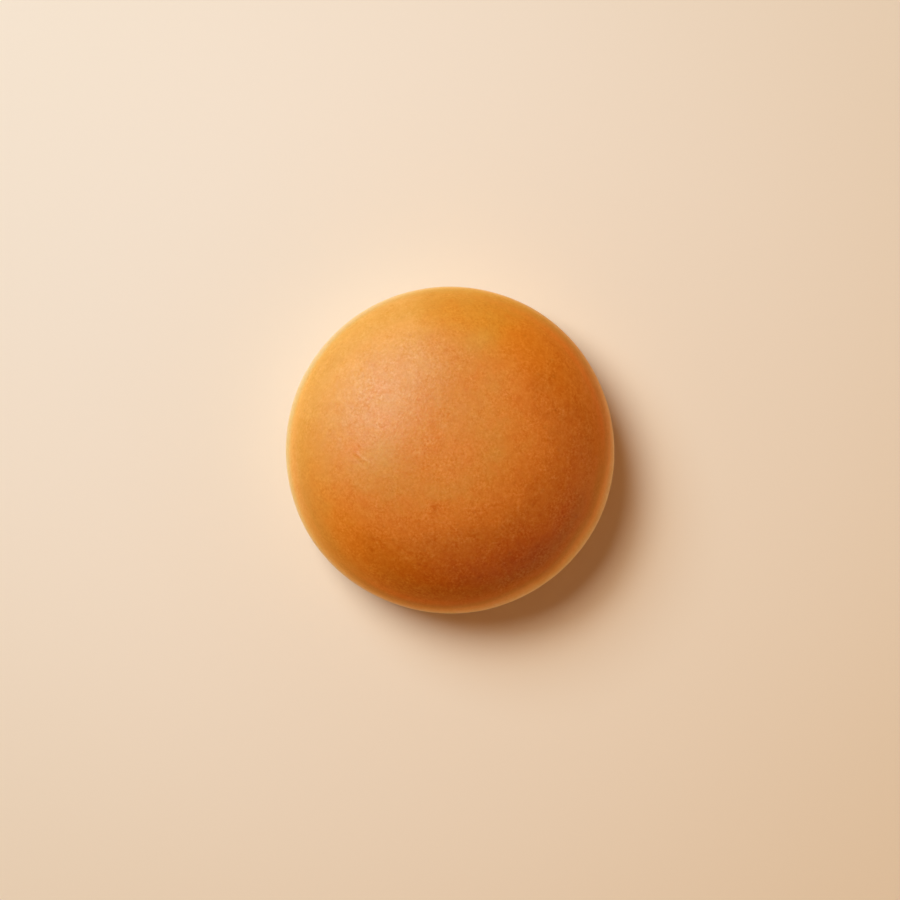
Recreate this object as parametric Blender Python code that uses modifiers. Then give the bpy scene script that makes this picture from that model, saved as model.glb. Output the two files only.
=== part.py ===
"""A plain hamburger bun, whole and uncut: a domed crown, a rounded side and a flat base.

The bun stands on the plane z = 0 with its base centred on the origin. Its outline is
turned about the vertical axis, and the turned blank is then made as uneven as a bun
that was shaped by hand. Lengths are in metres.
"""

import math

import bmesh
import bpy
from mathutils import Vector

MM = 0.001

# Driving dimensions
DIAMETER = 102.0 * MM
HEIGHT = 43.0 * MM
WIDEST_AT = 11.5 * MM
BASE_DIAMETER = 82.0 * MM

# How full each stretch of the outline is: 2 is an ellipse, and more is squarer
CROWN_FULLNESS = 2.12
UNDERSIDE_FULLNESS = 2.25

# How finely the outline is divided
CROWN_STEPS = 24
UNDERSIDE_STEPS = 10
TURN_STEPS = 108

# The rim's waves, seen from above: lobes, rise of a crest, direction of a crest in degrees
RIM_WAVES = (
    (2, 0.124 * MM, 178.0),
    (3, 0.042 * MM, 98.0),
    (4, 0.039 * MM, 48.0),
    (5, 0.039 * MM, 60.0),
    (6, 0.037 * MM, 44.0),
)
# The base's outline is less regular than the rim, in the same terms
BASE_WAVES = ((2, 0.55 * MM, 65.0), (3, 0.40 * MM, 10.0), (5, 0.20 * MM, 30.0))
# The side's widest line rises and falls as it goes round
BELLY_WAVES = ((1, 0.60 * MM, 315.0), (2, 0.35 * MM, 20.0), (3, 0.25 * MM, 75.0))
# Long swells in the crown: wavelength, height, direction in degrees, shift in degrees
CROWN_SWELLS = (
    (58.0 * MM, 0.18 * MM, 20.0, 80.0),
    (41.0 * MM, 0.13 * MM, 95.0, 130.0),
    (33.0 * MM, 0.10 * MM, 150.0, 250.0),
)
# The crown's peak leans a little to one side
PEAK_LEAN = 1.2 * MM
PEAK_LEAN_DIRECTION = 160.0

CRUST_COLOUR = (0.62, 0.22, 0.045, 1.0)
CRUST_ROUGHNESS = 0.5

RADIUS = DIAMETER / 2
BASE_RADIUS = BASE_DIAMETER / 2
CROWN_RISE = HEIGHT - WIDEST_AT
MERGE_DISTANCE = 0.00002


def clear_scene():
    for old in list(bpy.data.objects):
        bpy.data.objects.remove(old, do_unlink=True)


def quarter(turn, fullness):
    """Across and along one quarter of a rounded square, for a turn from 0 to 90 degrees."""
    power = 2 / fullness
    return max(math.sin(turn), 0.0) ** power, max(math.cos(turn), 0.0) ** power


def outline():
    """The bun's half section, from the peak down the side to the middle of the base."""
    points = []
    for step in range(CROWN_STEPS + 1):
        across, up = quarter(math.pi / 2 * step / CROWN_STEPS, CROWN_FULLNESS)
        points.append(Vector((RADIUS * across, 0.0, WIDEST_AT + CROWN_RISE * up)))
    for step in range(1, UNDERSIDE_STEPS + 1):
        down, out = quarter(math.pi / 2 * step / UNDERSIDE_STEPS, UNDERSIDE_FULLNESS)
        across = BASE_RADIUS + (RADIUS - BASE_RADIUS) * out
        points.append(Vector((across, 0.0, WIDEST_AT * (1 - down))))
    points[0].x = 0.0
    points[-1].z = 0.0
    points.append(Vector((0.0, 0.0, 0.0)))
    return points


def turned_blank():
    """The even bun: the outline turned about the vertical axis, as a plain mesh."""
    points = outline()
    mesh = bpy.data.meshes.new("outline")
    mesh.from_pydata(points, [(n, n + 1) for n in range(len(points) - 1)], [])
    blank = bpy.data.objects.new("outline", mesh)
    bpy.context.scene.collection.objects.link(blank)
    screw = blank.modifiers.new("turn", "SCREW")
    screw.axis = "Z"
    screw.angle = 2 * math.pi
    screw.steps = TURN_STEPS
    screw.render_steps = TURN_STEPS
    screw.use_merge_vertices = True
    screw.merge_threshold = MERGE_DISTANCE
    graph = bpy.context.evaluated_depsgraph_get()
    turned = bpy.data.meshes.new_from_object(blank.evaluated_get(graph))
    bpy.data.objects.remove(blank, do_unlink=True)
    bpy.data.meshes.remove(mesh)
    return turned


def waves(direction, table):
    """How far a wavy ring stands out in one direction."""
    return sum(rise * math.cos(lobes * (direction - math.radians(crest))) for lobes, rise, crest in table)


def swells(x, y):
    """Height of the crown's long swells over one point of the plan."""
    height = 0.0
    for length, rise, heading, shift in CROWN_SWELLS:
        along = x * math.cos(math.radians(heading)) + y * math.sin(math.radians(heading))
        height += rise * math.sin(2 * math.pi * along / length + math.radians(shift))
    return height


def uneven(point):
    """Where a point of the even blank lies on the hand-shaped bun."""
    direction = math.atan2(point.y, point.x)
    reach = math.hypot(point.x, point.y)
    above = max(point.z - WIDEST_AT, 0.0) / CROWN_RISE
    below = 1 - min(point.z, WIDEST_AT) / WIDEST_AT
    side = 1 - max(above, below)
    out = waves(direction, RIM_WAVES) * (1 - below) + waves(direction, BASE_WAVES) * below
    reach *= 1 + out / RADIUS
    lean = PEAK_LEAN * above * above
    heading = math.radians(PEAK_LEAN_DIRECTION)
    x = reach * math.cos(direction) + lean * math.cos(heading)
    y = reach * math.sin(direction) + lean * math.sin(heading)
    z = point.z + above * swells(x, y) + side * waves(direction, BELLY_WAVES)
    return Vector((x, y, z))


def centre_on_origin(points):
    """Moves the points sideways until their box is centred over the origin."""
    lowest = Vector(min(p[axis] for p in points) for axis in range(3))
    highest = Vector(max(p[axis] for p in points) for axis in range(3))
    middle = (lowest + highest) / 2
    for point in points:
        point.x -= middle.x
        point.y -= middle.y


def shape_bun(mesh):
    points = [uneven(vertex.co) for vertex in mesh.vertices]
    centre_on_origin(points)
    for vertex, point in zip(mesh.vertices, points):
        vertex.co = point


def join_seams(mesh):
    """Welds the turned mesh where it meets itself, and points its faces outwards."""
    work = bmesh.new()
    work.from_mesh(mesh)
    bmesh.ops.remove_doubles(work, verts=work.verts, dist=MERGE_DISTANCE)
    bmesh.ops.recalc_face_normals(work, faces=work.faces)
    work.to_mesh(mesh)
    work.free()


def crust_material():
    material = bpy.data.materials.new("crust")
    material.use_nodes = True
    finish = material.node_tree.nodes["Principled BSDF"]
    finish.inputs["Base Color"].default_value = CRUST_COLOUR
    finish.inputs["Roughness"].default_value = CRUST_ROUGHNESS
    finish.inputs["Metallic"].default_value = 0.0
    material.diffuse_color = CRUST_COLOUR
    return material


def make_bun(collection):
    mesh = turned_blank()
    mesh.name = "bun"
    join_seams(mesh)
    shape_bun(mesh)
    mesh.shade_smooth()
    mesh.materials.append(crust_material())
    bun = bpy.data.objects.new("bun", mesh)
    collection.objects.link(bun)
    return bun


def main():
    clear_scene()
    collection = bpy.data.collections.new("hamburger_bun")
    bpy.context.scene.collection.children.link(collection)
    make_bun(collection)


main()
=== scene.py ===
# The looks of a whole, plain hamburger bun: one closed crust, golden brown on top, paler round the side
# and tray-browned underneath. It lies on a pale floor in soft light from the back left, seen from above.
import math

import bpy
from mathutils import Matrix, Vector


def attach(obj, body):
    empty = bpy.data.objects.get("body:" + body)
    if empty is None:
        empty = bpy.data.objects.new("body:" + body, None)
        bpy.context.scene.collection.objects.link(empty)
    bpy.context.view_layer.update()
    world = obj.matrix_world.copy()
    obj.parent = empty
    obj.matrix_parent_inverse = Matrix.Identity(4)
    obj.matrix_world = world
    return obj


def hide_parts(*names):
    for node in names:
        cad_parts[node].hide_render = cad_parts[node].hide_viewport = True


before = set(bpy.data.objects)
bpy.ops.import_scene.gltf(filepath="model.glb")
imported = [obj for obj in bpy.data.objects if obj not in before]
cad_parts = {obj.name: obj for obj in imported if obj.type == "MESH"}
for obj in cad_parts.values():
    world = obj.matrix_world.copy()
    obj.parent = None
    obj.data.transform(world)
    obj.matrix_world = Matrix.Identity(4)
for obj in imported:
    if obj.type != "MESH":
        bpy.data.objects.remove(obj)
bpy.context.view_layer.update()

MM = 0.001

# The bun's own sizes, the same as its solid's
DIAMETER = 102.0 * MM
HEIGHT = 43.0 * MM
WIDEST_AT = 11.5 * MM
BASE_DIAMETER = 82.0 * MM
CROWN_FULLNESS = 2.12
UNDERSIDE_FULLNESS = 2.25
PEAK_LEAN = 1.2 * MM
PEAK_LEAN_DIRECTION = 160.0

# Slow waves round the bun, in its rim, in its base and in the height of its side: lobes, height, and the
# direction of one crest in degrees from +X
RIM_WAVES = (
    (2, 0.124 * MM, 178.0),
    (3, 0.042 * MM, 98.0),
    (4, 0.039 * MM, 48.0),
    (5, 0.039 * MM, 60.0),
    (6, 0.037 * MM, 44.0),
)
BASE_WAVES = (
    (2, 0.55 * MM, 65.0),
    (3, 0.40 * MM, 10.0),
    (5, 0.20 * MM, 30.0),
)
BELLY_WAVES = (
    (1, 0.60 * MM, 315.0),
    (2, 0.35 * MM, 20.0),
    (3, 0.25 * MM, 75.0),
)

# Long swells over the crown: wavelength, height, direction and shift in degrees
CROWN_SWELLS = (
    (58.0 * MM, 0.18 * MM, 20.0, 80.0),
    (41.0 * MM, 0.13 * MM, 95.0, 130.0),
    (33.0 * MM, 0.10 * MM, 150.0, 250.0),
)

# The skin's grid: a cube's faces blown up to a ball and then to the bun. The crown and the side below it
# end this many degrees down the ball, so that most of the rows are spent on the crown.
GRID_CELLS = 126
CROWN_ENDS = 110.0
UNDERSIDE_ENDS = 136.0

# A point's course is how far along the skin it lies: 0 at the peak, 1 at the widest line, 2 at the base's
# edge and 3 in the middle of the base. A band of it is where something comes in and where it goes out:
# each is a pair, from none of it to all of it.
COURSE_END = 3.0

# Relief of the crust: size of a bump across and its height
DENT_SIZE = 15.0 * MM
DENT_DEPTH = 0.16 * MM
BLISTER_SIZE = 4.2 * MM
BLISTER_DEPTH = 0.060 * MM
PEBBLE_SIZE = 1.5 * MM
PEBBLE_DEPTH = 0.080 * MM
# Faint creases run level round the lower side
CREASE_SIZE = 2.4 * MM
CREASE_STRETCH = 6.0
CREASE_DEPTH = 0.45 * MM
CREASE_BAND = ((1.0, 1.5), (2.0, 1.8))
# Hollows that the tray's air leaves in the base
POCK_SIZE = 2.6 * MM
POCK_DEPTH = 0.30 * MM
POCKS_START = (1.75, 2.05)
# Pores: the least gap between two, the most of them in a square metre, the radius and depth of one, and
# the seed that scatters them
PORE_GAP = 4.5 * MM
PORE_DENSITY = 16000.0
PORE_RADIUS = 0.75 * MM
PORE_DEPTH = 0.07 * MM
SEED = 7
# The crust lies this far inside the smooth form, so that its bumps don't stand out of it
SKIN_INSET = 0.04 * MM

# Single marks that show in the photo: first and last pixel, half width, and lift (below 0 is sunk)
BUN_PIXEL = (449.65, 449.39)
PIXEL_ON_CROWN = 0.300 * MM
MARKS = (
    ((355.0, 452.5), (367.0, 461.5), 0.60 * MM, 0.10 * MM),
    ((352.0, 455.5), (364.0, 464.5), 0.60 * MM, -0.03 * MM),
    ((384.0, 478.0), (398.0, 472.0), 0.80 * MM, 0.05 * MM),
    ((398.0, 472.0), (411.0, 470.0), 0.80 * MM, 0.05 * MM),
    ((433.0, 507.0), (436.0, 509.0), 1.10 * MM, -0.13 * MM),
    ((425.0, 499.0), (427.0, 502.0), 0.90 * MM, 0.08 * MM),
    ((439.0, 423.0), (441.0, 431.0), 0.60 * MM, -0.09 * MM),
    ((496.0, 457.0), (499.0, 458.0), 0.70 * MM, -0.07 * MM),
    ((567.0, 366.0), (569.0, 366.0), 0.70 * MM, 0.09 * MM),
)
MARKS_END = (0.95, 0.7)

# Browning along the skin: course and browning
BROWNING = (
    (0.00, 0.530),
    (0.15, 0.495),
    (0.22, 0.508),
    (0.30, 0.538),
    (0.39, 0.584),
    (0.50, 0.602),
    (0.56, 0.604),
    (0.63, 0.563),
    (0.70, 0.483),
    (0.77, 0.376),
    (0.82, 0.261),
    (0.87, 0.140),
    (0.94, 0.060),
    (1.05, 0.020),
    (1.55, 0.000),
    (1.80, 0.220),
    (2.02, 0.600),
    (2.30, 0.700),
    (3.00, 0.600),
)

# How much browner than that the brownest side of the crown is, along the same course. That side faces away
# from the lamp: its extra brown is partly uneven baking and partly painted shade, and the side towards the
# lamp is paler as painted light.
LOPSIDED_BAKE_AND_SHADE = (
    (0.00, 0.000),
    (0.15, 0.010),
    (0.22, 0.050),
    (0.30, 0.096),
    (0.39, 0.168),
    (0.50, 0.250),
    (0.57, 0.262),
    (0.63, 0.218),
    (0.70, 0.145),
    (0.77, 0.064),
    (0.82, 0.000),
    (0.86, -0.035),
    (0.92, -0.055),
    (1.10, -0.010),
    (1.50, 0.000),
)

# How that changes round the bun, as shares: lobes, share, and the direction of one crest. The main crest
# lies away from the lamp, where this browning is partly painted shade.
BAKE_AND_SHADE_WAVES = (
    (1, 1.00, 310.0),
    (2, 0.16, 80.0),
    (3, 0.13, 46.0),
)

# How far the crown's browning reaches down the side, in the same terms, as a shift of the course
RIM_REACH = (
    (2, 0.043, 58.0),
    (3, 0.010, 28.0),
    (1, 0.024, 80.0),
)
RIM_REACH_STARTS = (0.52, 0.76)

# Colour of the crust from pale dough to deep brown
SHADES = (
    (0.000, (0.905, 0.702, 0.425, 1.0)),
    (0.060, (0.875, 0.598, 0.282, 1.0)),
    (0.125, (0.856, 0.498, 0.187, 1.0)),
    (0.175, (0.842, 0.447, 0.143, 1.0)),
    (0.225, (0.816, 0.399, 0.106, 1.0)),
    (0.275, (0.765, 0.352, 0.079, 1.0)),
    (0.325, (0.700, 0.310, 0.062, 1.0)),
    (0.375, (0.653, 0.278, 0.047, 1.0)),
    (0.425, (0.634, 0.248, 0.036, 1.0)),
    (0.475, (0.648, 0.225, 0.027, 1.0)),
    (0.525, (0.667, 0.205, 0.021, 1.0)),
    (0.575, (0.666, 0.187, 0.017, 1.0)),
    (0.625, (0.636, 0.170, 0.013, 1.0)),
    (0.675, (0.592, 0.155, 0.011, 1.0)),
    (0.725, (0.556, 0.141, 0.009, 1.0)),
    (0.775, (0.536, 0.129, 0.007, 1.0)),
    (0.825, (0.522, 0.117, 0.006, 1.0)),
    (0.875, (0.495, 0.105, 0.005, 1.0)),
    (0.925, (0.452, 0.092, 0.004, 1.0)),
    (1.000, (0.415, 0.077, 0.003, 1.0)),
)

# Broad patches of the crown that are browner, or paler below 0: middle in pixels, radius and amount
PATCHES = (
    ((487.0, 337.0), 4.4 * MM, -0.105),
    ((505.0, 373.0), 4.0 * MM, -0.055),
    ((552.0, 559.0), 7.2 * MM, 0.105),
    ((586.0, 514.0), 4.0 * MM, 0.070),
    ((598.0, 429.0), 7.0 * MM, 0.040),
    ((428.0, 301.0), 7.0 * MM, 0.050),
    ((409.0, 312.0), 3.0 * MM, -0.050),
    ((368.0, 357.0), 7.2 * MM, 0.040),
    ((395.0, 566.0), 7.0 * MM, 0.035),
    ((378.0, 463.0), 5.0 * MM, -0.044),
    ((534.0, 528.0), 3.6 * MM, -0.050),
    ((502.0, 423.0), 3.8 * MM, -0.040),
    ((435.0, 508.0), 1.5 * MM, 0.100),
    ((355.0, 449.0), 1.3 * MM, 0.050),
)
PATCHES_END = (0.95, 0.75)

# Clouds and blotches of no fixed place: their size, how far they shift the course, and how much they
# brown. The blotches shift it more on the side, and brown more where the crust is brown already.
CLOUD_SIZE = 14.0 * MM
CLOUD_SHIFT = 0.04
CLOUD_BROWNING = 0.02
BLOTCH_SIZE = 6.5 * MM
BLOTCH_SHIFT = (0.04, 0.07)
BLOTCH_SHIFT_GROWS = (0.78, 1.0)
BLOTCH_BROWNING = 0.17
BLOTCH_ON_PALE = 0.4
# The base is paler in its hollows, the more so the deeper they are: the depths between which that grows,
# in the terms of pocks(), where it starts along the course, and how much paler they are
HOLLOW_EDGE = (0.0, 0.16)
HOLLOWS_START = (1.90, 2.10)
HOLLOW_PALENESS = 0.24

# How rings of the crust differ in colour round the bun, some of them as painted shade and light: lobes,
# share, and one crest's direction. Two stretches of the crown's outer part are like honey, with less blue.
HONEY_WAVES = ((2, 0.40, 62.0),)
HONEY_BAND = ((0.35, 0.60), (0.92, 0.82))
# The crown's foot has less red, most away from the lamp and also towards it: painted shade. Just below that
# it has more red, most where the light turns to shade: a painted glow.
DUSKY_SHADE_WAVES = ((0, 0.045, 0.0), (2, 0.035, 130.0), (1, 0.03, 310.0))
DUSKY_SHADE_BAND = ((0.54, 0.64), (0.77, 0.69))
RUDDY_GLOW_WAVES = ((0, 0.035, 0.0), (1, 0.035, 325.0), (2, 0.060, 222.0))
RUDDY_GLOW_BAND = ((0.70, 0.75), (0.86, 0.80))
# The rim is darker towards the lamp and away from it, and paler between: painted shade and painted light,
# set by how the lamps fall on it. Its blue is spared this share of the darkening.
RIM_SHADE_WAVES = ((2, 0.065, 144.0), (1, 0.030, 105.0))
RIM_SHADE_BAND = ((0.78, 0.86), (1.60, 1.20))
RIM_SHADE_BLUE = 0.7
# In this band the rim also has less red towards the lamp, a straw colour painted as shade there, and is
# golden in three stretches, with less blue there and more between
RIM_BAND = ((0.76, 0.84), (0.96, 0.84))
STRAW_SHADE_WAVES = ((0, -0.030, 0.0), (1, 0.150, 145.0))
GOLDEN_WAVES = ((3, 0.10, 195.0),)

# Fine grain and finer speckle of the colour, with the speckle stronger in some patches than in others
GRAIN_SIZE = 2.0 * MM
GRAIN_SHARE = 0.60
SPECKLE_SIZE = 0.80 * MM
SPECKLE_SHARE = 0.95
LIVELY_SIZE = 5.0 * MM
LIVELY_EDGE = 0.15
LIVELY_RANGE = (0.6, 1.4)
# Their coarseness grows with the browning: from where, how fast, and its least
COARSE_FROM = 0.25
COARSE_GROWTH = 1.2
COARSE_LEAST = 0.07
# How strongly they darken red, green and blue: the share of the coarseness, what is added, and the least
GRAIN_STRENGTHS = (
    (0.55, 0.14, 0.0),
    (2.3, 0.03, 0.36),
    (12.0, -1.9, 0.8),
)

# Pores are a little browner, and darker as painted shade in their hollows, and the lower side is a little
# duller
PORE_BROWNING = 0.05
PORE_PAINTED_SHADE = 0.06
LOWER_SIDE_STARTS = (1.02, 1.25)
LOWER_SIDE_TONE = 0.84

# Roughness of the crust, and how much the grain and the speckle change it
CRUST_ROUGHNESS = 0.60
GRAIN_ROUGHNESS = 0.16
SPECKLE_ROUGHNESS = 0.18

# The baked shine: its strength, between which courses it fades out, and how those and its strength vary
# round the bun
SHINE = 0.62
SHINE_ENDS = (0.44, 0.66)
SHINE_REACH = ((2, 0.150, 145.0), (1, 0.015, 335.0))
SHINE_SIDE = ((1, 0.25, 165.0),)
SHINE_SIDE_STARTS = (0.05, 0.25)
SHINE_BLOTCH_SIZE = 2.6 * MM
SHINE_BLOTCH_SHIFT = 0.10
SPECKLE_DULLS = 2.0
# Where the crown shines less: middle in pixels, radius and share
DULL_PATCHES = (((402.0, 368.0), 6.5 * MM, 0.24),)

# The skin's finest relief, too small for the mesh: rough skin, and wrinkles that run about one way. They
# are strongest round one pixel of the photo, and fade to a share of that between two distances from it.
SKIN_SIZE = 0.60 * MM
SKIN_DEPTH = 0.085 * MM
SKIN_SHARE = 0.5
WRINKLE_SIZE = 0.85 * MM
WRINKLE_STRETCH = 2.0
WRINKLE_DIRECTION = 66.0
WRINKLE_MIDDLE = (378.0, 402.0)
WRINKLE_FADE = (12.0 * MM, 30.0 * MM)
WRINKLE_LEAST = 0.3

# The view: straight down, with the bun's middle in the middle of the frame
SENSOR = 36.0
LENS = 85.0
CAMERA_HEIGHT = 673.0 * MM

# The light: a soft lamp from the photo's upper left, in two halves, a cool one under a warm one
KEY_DIRECTION = 135.5
KEY_DISTANCE = 1.25
COOL_ELEVATION = 42.4
COOL_SIZE = (0.95, 0.54)
COOL_POWER = 11.60
COOL_COLOUR = (0.560, 0.788, 1.0)
WARM_ELEVATION = 55.2
WARM_SIZE = (0.80, 0.54)
WARM_POWER = 9.74
WARM_COLOUR = (1.0, 0.936, 0.790)

# A low warm card about opposite the lamp, which lights the bun's shaded rim
CARD_DIRECTION = 333.0
CARD_ELEVATION = 10.0
CARD_DISTANCE = 1.6
CARD_SIZE = (1.20, 0.52)
CARD_POWER = 3.36
CARD_COLOUR = (0.94, 0.53, 0.17)

# The room's glow near the horizon and high up, and the heights between which it changes, with 1 overhead
HORIZON_GLOW = (0.64, 0.39, 0.155, 1.0)
HIGH_GLOW = (0.222, 0.103, 0.052, 1.0)
GLOW_CHANGES = (0.10, 0.30)

# The floor's reach each way, its colours towards the lamp and away from it, which are painted light falling
# off away from the lamp, and how far from the bun's middle each is reached
FLOOR_REACH = 6.0
FLOOR_PAINTED_LIT_END = (0.764, 0.671, 0.574, 1.0)
FLOOR_PAINTED_DIM_END = (0.910, 0.708, 0.487, 1.0)
FLOOR_PAINTED_FADE = 0.24
# Between these distances from the bun's middle it also darkens a little, to these shares of red, green and
# blue, as painted falloff of the light
FLOOR_PAINTED_FALLOFF = (0.10, 0.21)
FLOOR_PAINTED_FALLOFF_TINT = (0.970, 0.958, 0.925)
FLOOR_GRAIN_SIZE = 1.2 * MM
FLOOR_GRAIN_DEPTH = 0.05 * MM

# The mix node's sockets for colours, by number, because its other sockets have the same names
MIX_FIRST = 6
MIX_SECOND = 7
MIX_RESULT = 2


class Field:
    """A node's output, with the signs of arithmetic, so that a tree can be written as a formula."""

    def __init__(self, tree, socket):
        self.tree = tree
        self.socket = socket

    def step(self, operation, *others):
        return maths(self.tree, operation, self, *others)

    def __add__(self, other):
        return self.step("ADD", other)

    def __mul__(self, other):
        return self.step("MULTIPLY", other)

    def __sub__(self, other):
        return self.step("SUBTRACT", other)

    def __rsub__(self, other):
        return maths(self.tree, "SUBTRACT", other, self)

    def __truediv__(self, other):
        return self.step("DIVIDE", other)

    def __rtruediv__(self, other):
        return maths(self.tree, "DIVIDE", other, self)

    def __pow__(self, other):
        return self.step("POWER", other)


def plug(tree, value, socket):
    """Feeds a socket from another node's output, or sets it to a plain value."""
    if isinstance(value, Field):
        tree.links.new(value.socket, socket)
    else:
        socket.default_value = value


def node(tree, kind, inputs=None, output=0, **options):
    """Adds one node with its options and inputs, and gives back one of its outputs."""
    made = tree.nodes.new(kind)
    for name, value in options.items():
        setattr(made, name, value)
    for key, value in (inputs or {}).items():
        plug(tree, value, made.inputs[key])
    return Field(tree, made.outputs[output]) if made.outputs else None


def maths(tree, operation, *values):
    """One step of arithmetic."""
    return node(tree, "ShaderNodeMath", dict(enumerate(values)), operation=operation)


def vectors(tree, operation, *values, output=0):
    """One step of vector arithmetic."""
    inputs = dict(enumerate(values))
    if operation == "SCALE":
        inputs = {0: values[0], "Scale": values[1]}
    return node(tree, "ShaderNodeVectorMath", inputs, output, operation=operation)


def parts_of(vector):
    """The x, y and z of a vector field."""
    tree = vector.tree
    made = tree.nodes.new("ShaderNodeSeparateXYZ")
    plug(tree, vector, made.inputs[0])
    return [Field(tree, socket) for socket in made.outputs]


def vector_of(tree, x, y, z):
    """A vector field made from three numbers or fields."""
    return node(tree, "ShaderNodeCombineXYZ", {0: x, 1: y, 2: z})


def plan_of(where):
    """The x and y of a point, and its direction round the bun in radians."""
    x, y = parts_of(where)[:2]
    return x, y, y.step("ARCTAN2", x)


def ramp(field, start, end, low=0.0, high=1.0):
    """Runs smoothly from low to high as the field goes from start to end, and stays level outside."""
    inputs = {"Value": field, "From Min": start, "From Max": end, "To Min": low, "To Max": high}
    return node(field.tree, "ShaderNodeMapRange", inputs, interpolation_type="SMOOTHSTEP")


def within(course, band):
    """1 in a band of the course and 0 outside it, with soft ends."""
    comes, goes = band
    return ramp(course, *comes) * ramp(course, *goes)


def clamped(field):
    """The field, held between 0 and 1."""
    return node(field.tree, "ShaderNodeClamp", {"Value": field})


def share_of(field, start, end):
    """How far the field is from start to end, held between 0 and 1."""
    return clamped((field - start) / (end - start))


def noise(where, size, detail=1.0, roughness=0.5, seed=0.0):
    """Noise round zero, about half up and half down, with bumps of the given size."""
    inputs = {"Vector": where, "W": seed, "Scale": 1.0 / size, "Detail": detail, "Roughness": roughness}
    made = node(where.tree, "ShaderNodeTexNoise", inputs, noise_dimensions="4D")
    return made - 0.5


def waves(direction, table):
    """The sum of slow waves round the bun."""
    total = 0.0
    for lobes, rise, crest in table:
        turned = (direction - math.radians(crest)) * float(lobes)
        total = turned.step("COSINE") * rise + total
    return total


def colours(factor, stops):
    """A colour ramp: stops are (place, colour) pairs."""
    tree = factor.tree
    made = tree.nodes.new("ShaderNodeValToRGB")
    steps = made.color_ramp.elements
    steps[0].position, steps[0].color = stops[0]
    steps[1].position, steps[1].color = stops[-1]
    for place, colour in stops[1:-1]:
        steps.new(place).color = colour
    plug(tree, factor, made.inputs[0])
    return Field(tree, made.outputs[0])


def profile(course, stops):
    """A number that changes along the skin's course, from a list of (course, number) pairs."""
    greys = [(at / COURSE_END, (number, number, number, 1.0)) for at, number in stops]
    return colours(course / COURSE_END, greys)


def blend(factor, first, second):
    """Mixes two colours."""
    inputs = {"Factor": factor, MIX_FIRST: first, MIX_SECOND: second}
    return node(factor.tree, "ShaderNodeMix", inputs, MIX_RESULT, data_type="RGBA")


def on_crown(pixel):
    """Where a pixel of the photo lies on the crown, across the bun from its middle."""
    x = (pixel[0] - BUN_PIXEL[0]) * PIXEL_ON_CROWN
    y = (BUN_PIXEL[1] - pixel[1]) * PIXEL_ON_CROWN
    return Vector((x, y, 0.0))


def broad_patches(tree, x, y, table):
    """The sum of soft round patches on the crown."""
    total = 0.0
    flat = vector_of(tree, x, y, 0.0)
    for middle, radius, amount in table:
        gap = vectors(tree, "DISTANCE", flat, on_crown(middle), output="Value") / radius
        total = (gap * gap * -0.5).step("EXPONENT") * amount + total
    return total


def toward(direction, elevation):
    """The unit vector that points to a direction and elevation, both in degrees."""
    turn = math.radians(direction)
    rise = math.radians(elevation)
    level = math.cos(rise)
    return Vector((math.cos(turn) * level, math.sin(turn) * level, math.sin(rise)))


def make_camera():
    """The camera, straight above the bun and looking down, with +Y at the top of the frame."""
    data = bpy.data.cameras.new("camera_above")
    data.lens = LENS
    data.sensor_width = SENSOR
    camera = bpy.data.objects.new("camera_above", data)
    camera.location = (0.0, 0.0, CAMERA_HEIGHT)
    bpy.context.scene.collection.objects.link(camera)
    bpy.context.scene.camera = camera


def make_lamp(name, direction, elevation, distance, size, power, colour):
    """A soft oval lamp that faces the bun; its size is its width and height."""
    data = bpy.data.lights.new(name, "AREA")
    data.shape = "ELLIPSE"
    data.size, data.size_y = size
    data.energy = power
    data.color = colour
    lamp = bpy.data.objects.new(name, data)
    away = toward(direction, elevation)
    lamp.location = away * distance
    lamp.rotation_euler = away.to_track_quat("Z", "Y").to_euler()
    bpy.context.scene.collection.objects.link(lamp)


def make_world():
    """The room's light: a dim warm glow from all round, paler towards the horizon."""
    world = bpy.data.worlds.new("warm_room")
    world.use_nodes = True
    tree = world.node_tree
    tree.nodes.clear()
    height = parts_of(node(tree, "ShaderNodeTexCoord", output="Generated"))[2]
    glow = blend(ramp(height, *GLOW_CHANGES), HORIZON_GLOW, HIGH_GLOW)
    room = node(tree, "ShaderNodeBackground", {"Color": glow, "Strength": 1.0})
    node(tree, "ShaderNodeOutputWorld", {"Surface": room})
    bpy.context.scene.world = world


def new_material(name):
    """An empty node material and its tree."""
    material = bpy.data.materials.new(name)
    material.use_nodes = True
    material.node_tree.nodes.clear()
    return material, material.node_tree


def floor_material():
    """Matt pale board with painted light: cream towards the lamp, tan away from it, and a little darker far
    from the bun.
    """
    material, tree = new_material("pale_board_painted_light")
    where = node(tree, "ShaderNodeTexCoord", output="Object")
    lamp_way = toward(KEY_DIRECTION, 0.0)
    along = vectors(tree, "DOT_PRODUCT", where, lamp_way, output="Value")
    inputs = {"Value": along, "From Min": FLOOR_PAINTED_FADE, "From Max": -FLOOR_PAINTED_FADE}
    away = node(tree, "ShaderNodeMapRange", inputs)
    # painted light: the floor's colour falls off away from the lamp, and further from the bun's middle
    paint = blend(away, FLOOR_PAINTED_LIT_END, FLOOR_PAINTED_DIM_END)
    out = ramp(vectors(tree, "LENGTH", where, output="Value"), *FLOOR_PAINTED_FALLOFF)
    falloff_tint = vector_of(tree, *(1.0 - out * (1.0 - share) for share in FLOOR_PAINTED_FALLOFF_TINT))
    paint = vectors(tree, "MULTIPLY", paint, falloff_tint)
    grain = noise(where, FLOOR_GRAIN_SIZE, detail=3.0)
    inputs = {"Strength": 0.3, "Distance": FLOOR_GRAIN_DEPTH, "Height": grain}
    bump = node(tree, "ShaderNodeBump", inputs)
    inputs = {"Base Color": paint, "Roughness": 0.9, "Normal": bump}
    surface = node(tree, "ShaderNodeBsdfPrincipled", inputs)
    node(tree, "ShaderNodeOutputMaterial", {"Surface": surface})
    return material


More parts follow.
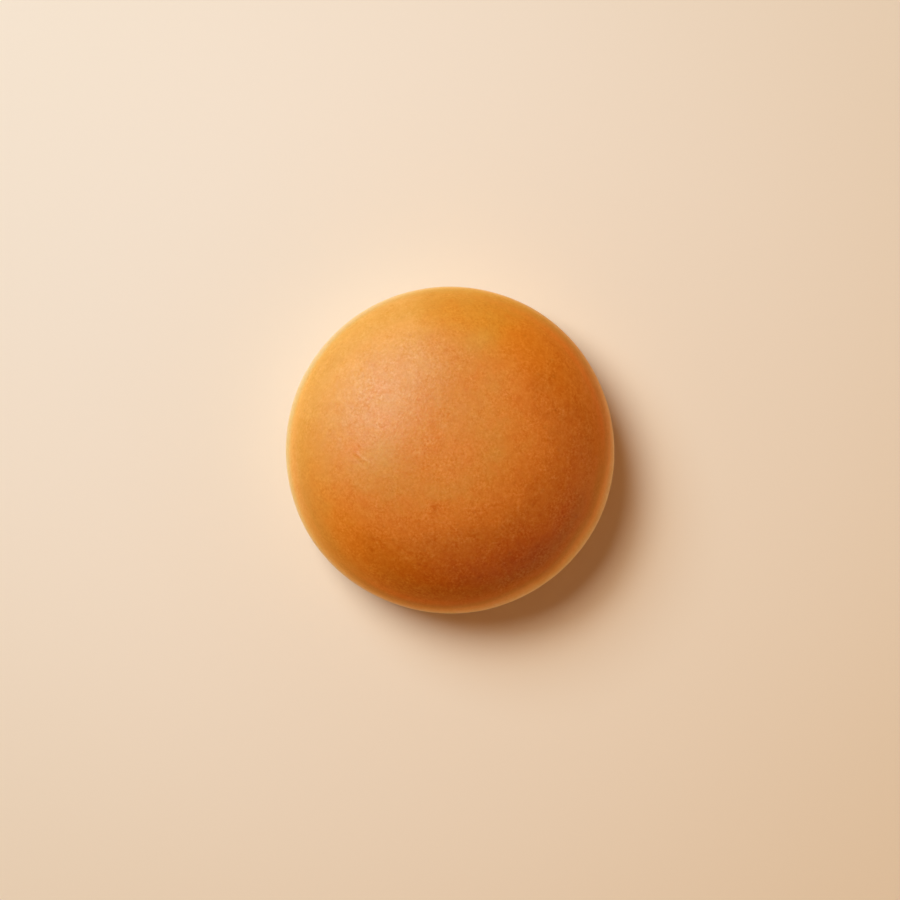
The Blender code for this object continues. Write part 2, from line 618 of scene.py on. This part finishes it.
def make_floor():
    """The pale floor, with painted light that runs from cream near the lamp to tan away from it."""
    bpy.ops.mesh.primitive_plane_add(size=2.0 * FLOOR_REACH, location=(0.0, 0.0, 0.0))
    floor = bpy.context.object
    floor.name = "pale_floor"
    floor.data.materials.append(floor_material())


def pocks(where):
    """The hollows that the tray's air leaves in the base: above 0 where they are deep."""
    return noise(where, POCK_SIZE, detail=2.0, seed=8.0)


def browning(tree, where, course):
    """How brown the crust is, 0 to 1: by its course, by its side, browner away from the lamp partly as
    painted shade, and uneven patches.
    """
    x, y, direction = plan_of(where)
    clouds = noise(where, CLOUD_SIZE, detail=2.0)
    blotches = noise(where, BLOTCH_SIZE, detail=2.0, roughness=0.6, seed=3.0)
    reach = course - waves(direction, RIM_REACH) * ramp(course, *RIM_REACH_STARTS)
    ragged = ramp(course, *BLOTCH_SHIFT_GROWS, *BLOTCH_SHIFT)
    uneven = reach + clouds * CLOUD_SHIFT + blotches * ragged
    # browner away from the lamp and paler towards it: partly uneven baking, partly painted shade and light
    brown = profile(uneven, BROWNING) + profile(uneven, LOPSIDED_BAKE_AND_SHADE) * waves(direction, BAKE_AND_SHADE_WAVES)
    brown = brown + broad_patches(tree, x, y, PATCHES) * ramp(course, *PATCHES_END)
    hollows = ramp(pocks(where), *HOLLOW_EDGE) * ramp(course, *HOLLOWS_START)
    blotched = blotches * (brown + BLOTCH_ON_PALE) * BLOTCH_BROWNING
    return brown + clouds * CLOUD_BROWNING + blotched - hollows * HOLLOW_PALENESS


def tint(tree, where, course):
    """What the crust's colour is multiplied by: honey and golden stretches, and painted shade and glow
    round the crown's foot and rim.
    """
    direction = plan_of(where)[2]
    honey = waves(direction, HONEY_WAVES).step("MAXIMUM", 0.0) * within(course, HONEY_BAND)
    # painted shade at the crown's foot, and a painted red glow just below it
    dusky_shade = waves(direction, DUSKY_SHADE_WAVES) * within(course, DUSKY_SHADE_BAND)
    ruddy_glow = waves(direction, RUDDY_GLOW_WAVES) * within(course, RUDDY_GLOW_BAND)
    # painted shade on the rim towards the lamp and away from it, and painted light between
    rim_shade = waves(direction, RIM_SHADE_WAVES) * within(course, RIM_SHADE_BAND)
    rim = within(course, RIM_BAND)
    # less red on the rim towards the lamp: painted shade
    straw_shade = waves(direction, STRAW_SHADE_WAVES).step("MAXIMUM", 0.0) * rim
    golden = waves(direction, GOLDEN_WAVES) * rim
    bluer = rim_shade.step("MAXIMUM", 0.0) * RIM_SHADE_BLUE
    red = (1.0 - dusky_shade + ruddy_glow) * (1.0 - rim_shade - straw_shade)
    green = 1.0 - rim_shade
    blue = (1.0 - honey) * (1.0 - rim_shade - golden + bluer)
    return vector_of(tree, red, green, blue)


def mottle(tree, baked, fine):
    """How fine grain darkens the crust: more where it is browner, and most of all in blue."""
    coarse = ((baked - COARSE_FROM) * COARSE_GROWTH).step("MAXIMUM", COARSE_LEAST)
    darkened = []
    for growth, besides, least in GRAIN_STRENGTHS:
        strength = (coarse * growth + besides).step("MAXIMUM", least)
        darkened.append((fine * strength * -1.0).step("EXPONENT"))
    return vector_of(tree, *darkened)


def shininess(tree, where, course):
    """The baked shine of the crown, blotchy, and gone on the side."""
    x, y, direction = plan_of(where)
    blotches = noise(where, SHINE_BLOTCH_SIZE, detail=2.0, roughness=0.6, seed=31.0)
    reach = course - waves(direction, SHINE_REACH) + blotches * SHINE_BLOTCH_SHIFT
    sided = waves(direction, SHINE_SIDE) * ramp(course, *SHINE_SIDE_STARTS) + 1.0
    sided = sided - broad_patches(tree, x, y, DULL_PATCHES)
    return ramp(reach, *SHINE_ENDS, SHINE, 0.0) * sided * (blotches + 1.0)


def wrinkles(where):
    """Fine short wrinkles of the skin, all about one way, strongest in one patch of the crown."""
    tree = where.tree
    x, y, z = parts_of(where)
    turn = math.radians(WRINKLE_DIRECTION)
    along = x * math.cos(turn) + y * math.sin(turn)
    across = y * math.cos(turn) - x * math.sin(turn)
    stretched = vector_of(tree, along / WRINKLE_STRETCH, across, z)
    fold = noise(stretched, WRINKLE_SIZE, detail=2.0, roughness=0.6, seed=13.0)
    middle = on_crown(WRINKLE_MIDDLE)
    gap = vectors(tree, "DISTANCE", vector_of(tree, x, y, 0.0), middle, output="Value")
    return fold * ramp(gap, *WRINKLE_FADE, 1.0, WRINKLE_LEAST)


def crust_material():
    """Soft baked crust: browned by its course along the skin, with mottling, fine speckle and pores."""
    material, tree = new_material("golden_crust")
    where = node(tree, "ShaderNodeTexCoord", output="Object")
    course = node(tree, "ShaderNodeAttribute", output="Fac", attribute_name="course")
    pore = node(tree, "ShaderNodeAttribute", output="Fac", attribute_name="pore")

    patches = noise(where, LIVELY_SIZE, seed=17.0)
    lively = ramp(patches, -LIVELY_EDGE, LIVELY_EDGE, *LIVELY_RANGE)
    speckle = noise(where, SPECKLE_SIZE, detail=2.0, roughness=0.65, seed=5.0) * lively
    grain = noise(where, GRAIN_SIZE, detail=2.0, roughness=0.6, seed=21.0)

    baked = browning(tree, where, course)
    paint = colours(baked + pore * PORE_BROWNING, SHADES)
    paint = vectors(tree, "MULTIPLY", paint, tint(tree, where, course))
    fine = grain * GRAIN_SHARE + speckle * SPECKLE_SHARE
    paint = vectors(tree, "MULTIPLY", paint, mottle(tree, baked, fine))
    # pores are darkened as painted shade in their hollows
    tone = (1.0 - pore * PORE_PAINTED_SHADE) * ramp(course, *LOWER_SIDE_STARTS, 1.0, LOWER_SIDE_TONE)
    paint = vectors(tree, "SCALE", paint, tone)

    shine = shininess(tree, where, course) * (1.0 - speckle * SPECKLE_DULLS)
    rough = grain * GRAIN_ROUGHNESS + speckle * SPECKLE_ROUGHNESS + CRUST_ROUGHNESS
    skin = noise(where, SKIN_SIZE, detail=3.0, roughness=0.6, seed=9.0)
    height = skin * SKIN_SHARE + wrinkles(where)
    bump = node(tree, "ShaderNodeBump", {"Strength": 1.0, "Distance": SKIN_DEPTH, "Height": height})
    inputs = {
        "Base Color": paint,
        "Roughness": rough,
        "IOR": 1.43,
        "Specular IOR Level": 0.08,
        "Coat Weight": shine,
        "Coat Roughness": 0.48,
        "Coat IOR": 1.5,
        "Subsurface Weight": 0.12,
        "Subsurface Radius": (1.0, 0.40, 0.15),
        "Subsurface Scale": 1.6 * MM,
        "Normal": bump,
        "Coat Normal": bump,
    }
    surface = node(tree, "ShaderNodeBsdfPrincipled", inputs)
    node(tree, "ShaderNodeOutputMaterial", {"Surface": surface})
    return material


def swells(x, y):
    """The sum of long, straight swells across the crown."""
    total = 0.0
    for length, rise, way, shift in CROWN_SWELLS:
        turn = math.radians(way)
        along = x * math.cos(turn) + y * math.sin(turn)
        total = (along * (2.0 * math.pi / length) + math.radians(shift)).step("SINE") * rise + total
    return total


def quarter(share, fullness):
    """A rounded quarter: how far across and how far up it is, share of the way from its top to its side."""
    turn = share * (math.pi / 2.0)
    power = 2.0 / fullness
    across = turn.step("SINE").step("MAXIMUM", 0.0) ** power
    up = turn.step("COSINE").step("MAXIMUM", 0.0) ** power
    return across, up


def smooth_form(tree, sizes, spot):
    """Where a point of the cube's grid lies on the smooth bun, with its course along the skin."""
    grown = vectors(tree, "TANGENT", vectors(tree, "SCALE", spot, math.pi / 4.0))
    x, y, z = parts_of(vectors(tree, "NORMALIZE", grown))
    direction = y.step("ARCTAN2", x)
    fall = z.step("ARCCOSINE")
    crown_end = math.radians(CROWN_ENDS)
    underside_end = math.radians(UNDERSIDE_ENDS)
    crown = share_of(fall, 0.0, crown_end)
    underside = share_of(fall, crown_end, underside_end)
    base = share_of(fall, underside_end, math.pi)

    radius = sizes["Diameter"] * 0.5
    base_radius = sizes["Base diameter"] * 0.5
    crown_rise = sizes["Height"] - sizes["Widest at"]
    across, up = quarter(crown, sizes["Crown fullness"])
    down, out = quarter(underside, sizes["Underside fullness"])
    reach = radius * across - (radius - base_radius) * (1.0 - out) - base_radius * base
    height = sizes["Widest at"] * (1.0 - down) + crown_rise * up

    above = (height - sizes["Widest at"]).step("MAXIMUM", 0.0) / crown_rise
    below = 1.0 - height.step("MINIMUM", sizes["Widest at"]) / sizes["Widest at"]
    side = 1.0 - above.step("MAXIMUM", below)
    bulge = waves(direction, RIM_WAVES) * (1.0 - below) + waves(direction, BASE_WAVES) * below
    reach = reach * (bulge / radius + 1.0)
    lean = sizes["Peak lean"] * above * above
    lean_turn = math.radians(PEAK_LEAN_DIRECTION)
    x = reach * direction.step("COSINE") + lean * math.cos(lean_turn)
    y = reach * direction.step("SINE") + lean * math.sin(lean_turn)
    height = height + above * swells(x, y) + side * waves(direction, BELLY_WAVES)
    return vector_of(tree, x, y, height), crown + underside + base


def kept(skin, name, value):
    """The skin, with a number kept on each of its points."""
    inputs = {"Geometry": skin, "Name": name, "Value": value}
    return node(skin.tree, "GeometryNodeStoreNamedAttribute", inputs, data_type="FLOAT", domain="POINT")


def kept_number(tree, name):
    """The number that is kept on each point under that name."""
    return node(tree, "GeometryNodeInputNamedAttribute", {"Name": name}, data_type="FLOAT")


def centred(skin):
    """The skin, moved level until its box is centred over the origin."""
    tree = skin.tree
    low = node(tree, "GeometryNodeBoundBox", {"Geometry": skin}, "Min")
    high = node(tree, "GeometryNodeBoundBox", {"Geometry": skin}, "Max")
    off_centre = vectors(tree, "MULTIPLY", vectors(tree, "ADD", low, high), (-0.5, -0.5, 0.0))
    return node(tree, "GeometryNodeSetPosition", {"Geometry": skin, "Offset": off_centre})


def pore_gap(skin, sizes):
    """How far each point lies from the nearest pore. Pores are scattered, but never close together."""
    tree = skin.tree
    inputs = {
        "Mesh": skin,
        "Distance Min": sizes["Pore gap"],
        "Density Max": PORE_DENSITY,
        "Seed": sizes["Seed"],
    }
    points = node(tree, "GeometryNodeDistributePointsOnFaces", inputs, distribute_method="POISSON")
    return node(tree, "GeometryNodeProximity", {"Geometry": points}, "Distance", target_element="POINTS")


def mark_relief(tree, x, y):
    """The lift of the single marks on the crown."""
    total = 0.0
    flat = vector_of(tree, x, y, 0.0)
    for first, last, half_width, lift in MARKS:
        start = on_crown(first)
        run = on_crown(last) - start
        reached = vectors(tree, "SUBTRACT", flat, start)
        share = clamped(vectors(tree, "DOT_PRODUCT", reached, run, output="Value") / run.length_squared)
        nearest = vectors(tree, "SCALE", run, share)
        gap = vectors(tree, "DISTANCE", reached, nearest, output="Value")
        total = ramp(gap, half_width, 0.0) * lift + total
    return total


def relief(tree, sizes):
    """How far the crust stands out from the smooth form, by all its bumps, creases, pores and marks."""
    where = node(tree, "GeometryNodeInputPosition")
    course = kept_number(tree, "course")
    pore = kept_number(tree, "pore")
    x, y, z = parts_of(where)
    dents = noise(where, DENT_SIZE, seed=1.0) * sizes["Dent depth"]
    blisters = noise(where, BLISTER_SIZE, seed=2.0) * sizes["Blister depth"]
    pebbles = noise(where, PEBBLE_SIZE, seed=4.0) * sizes["Pebble depth"]
    level = vector_of(tree, x / CREASE_STRETCH, y / CREASE_STRETCH, z)
    creases = noise(level, CREASE_SIZE, seed=6.0) * sizes["Crease depth"] * within(course, CREASE_BAND)
    crown = dents + blisters + pebbles + creases - pore * sizes["Pore depth"] - SKIN_INSET
    base = (pocks(where) + 0.5) * sizes["Pock depth"] * -1.0
    on_base = ramp(course, *POCKS_START)
    marks = mark_relief(tree, x, y) * ramp(course, *MARKS_END)
    return crown * (1.0 - on_base) + base * on_base + marks


# The named inputs of the crust's tree that are plain numbers, apart from the seed
CRUST_SIZES = {
    "Diameter": DIAMETER,
    "Height": HEIGHT,
    "Widest at": WIDEST_AT,
    "Base diameter": BASE_DIAMETER,
    "Crown fullness": CROWN_FULLNESS,
    "Underside fullness": UNDERSIDE_FULLNESS,
    "Peak lean": PEAK_LEAN,
    "Dent depth": DENT_DEPTH,
    "Blister depth": BLISTER_DEPTH,
    "Pebble depth": PEBBLE_DEPTH,
    "Crease depth": CREASE_DEPTH,
    "Pock depth": POCK_DEPTH,
    "Pore gap": PORE_GAP,
    "Pore radius": PORE_RADIUS,
    "Pore depth": PORE_DEPTH,
}


def crust_tree():
    """The whole crust as a tree of nodes: a cube's grid is blown up to the bun, then given its relief."""
    tree = bpy.data.node_groups.new("bun_crust", "GeometryNodeTree")
    ports = tree.interface
    ports.new_socket("Crust", in_out="OUTPUT", socket_type="NodeSocketGeometry")
    for name in CRUST_SIZES:
        ports.new_socket(name, in_out="INPUT", socket_type="NodeSocketFloat")
    ports.new_socket("Seed", in_out="INPUT", socket_type="NodeSocketInt")
    ports.new_socket("Crust material", in_out="INPUT", socket_type="NodeSocketMaterial")
    entry = tree.nodes.new("NodeGroupInput")
    sizes = {socket.name: Field(tree, socket) for socket in entry.outputs if socket.name}

    rows = GRID_CELLS + 1
    inputs = {"Size": (2.0, 2.0, 2.0), "Vertices X": rows, "Vertices Y": rows, "Vertices Z": rows}
    grid = node(tree, "GeometryNodeMeshCube", inputs)
    form, course = smooth_form(tree, sizes, node(tree, "GeometryNodeInputPosition"))
    skin = kept(grid, "course", course)
    skin = centred(node(tree, "GeometryNodeSetPosition", {"Geometry": skin, "Position": form}))

    pore = ramp(pore_gap(skin, sizes), sizes["Pore radius"], 0.0)
    skin = kept(skin, "pore", pore)
    offset = vectors(tree, "SCALE", node(tree, "GeometryNodeInputNormal"), relief(tree, sizes))
    skin = node(tree, "GeometryNodeSetPosition", {"Geometry": skin, "Offset": offset})
    skin = node(tree, "GeometryNodeSetShadeSmooth", {"Geometry": skin})
    skin = node(tree, "GeometryNodeRealizeInstances", {"Geometry": skin})
    inputs = {"Geometry": skin, "Material": sizes["Crust material"]}
    skin = node(tree, "GeometryNodeSetMaterial", inputs)
    leave = tree.nodes.new("NodeGroupOutput")
    plug(tree, skin, leave.inputs["Crust"])
    return tree


def make_crust(material):
    """Runs the crust's tree, and keeps what it makes as one plain mesh."""
    tree = crust_tree()
    host = bpy.data.objects.new("crust_host", bpy.data.meshes.new("crust_host"))
    bpy.context.scene.collection.objects.link(host)
    modifier = host.modifiers.new("crust", "NODES")
    modifier.node_group = tree
    names = {item.name: item.identifier for item in tree.interface.items_tree if item.in_out == "INPUT"}
    values = {**CRUST_SIZES, "Seed": SEED, "Crust material": material}
    for name, value in values.items():
        modifier[names[name]] = value
    seen = host.evaluated_get(bpy.context.evaluated_depsgraph_get())
    mesh = bpy.data.meshes.new_from_object(seen)
    mesh.name = "bun_crust"
    crust = bpy.data.objects.new("bun_crust", mesh)
    bpy.context.scene.collection.objects.link(crust)
    bpy.data.objects.remove(host)
    return crust


bpy.context.scene.view_settings.view_transform = "Standard"
make_camera()
make_world()
make_lamp("cool_lamp", KEY_DIRECTION, COOL_ELEVATION, KEY_DISTANCE, COOL_SIZE, COOL_POWER, COOL_COLOUR)
make_lamp("warm_lamp", KEY_DIRECTION, WARM_ELEVATION, KEY_DISTANCE, WARM_SIZE, WARM_POWER, WARM_COLOUR)
make_lamp("low_card", CARD_DIRECTION, CARD_ELEVATION, CARD_DISTANCE, CARD_SIZE, CARD_POWER, CARD_COLOUR)
make_floor()
bun_crust = make_crust(crust_material())
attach(bun_crust, "root")
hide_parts("bun")
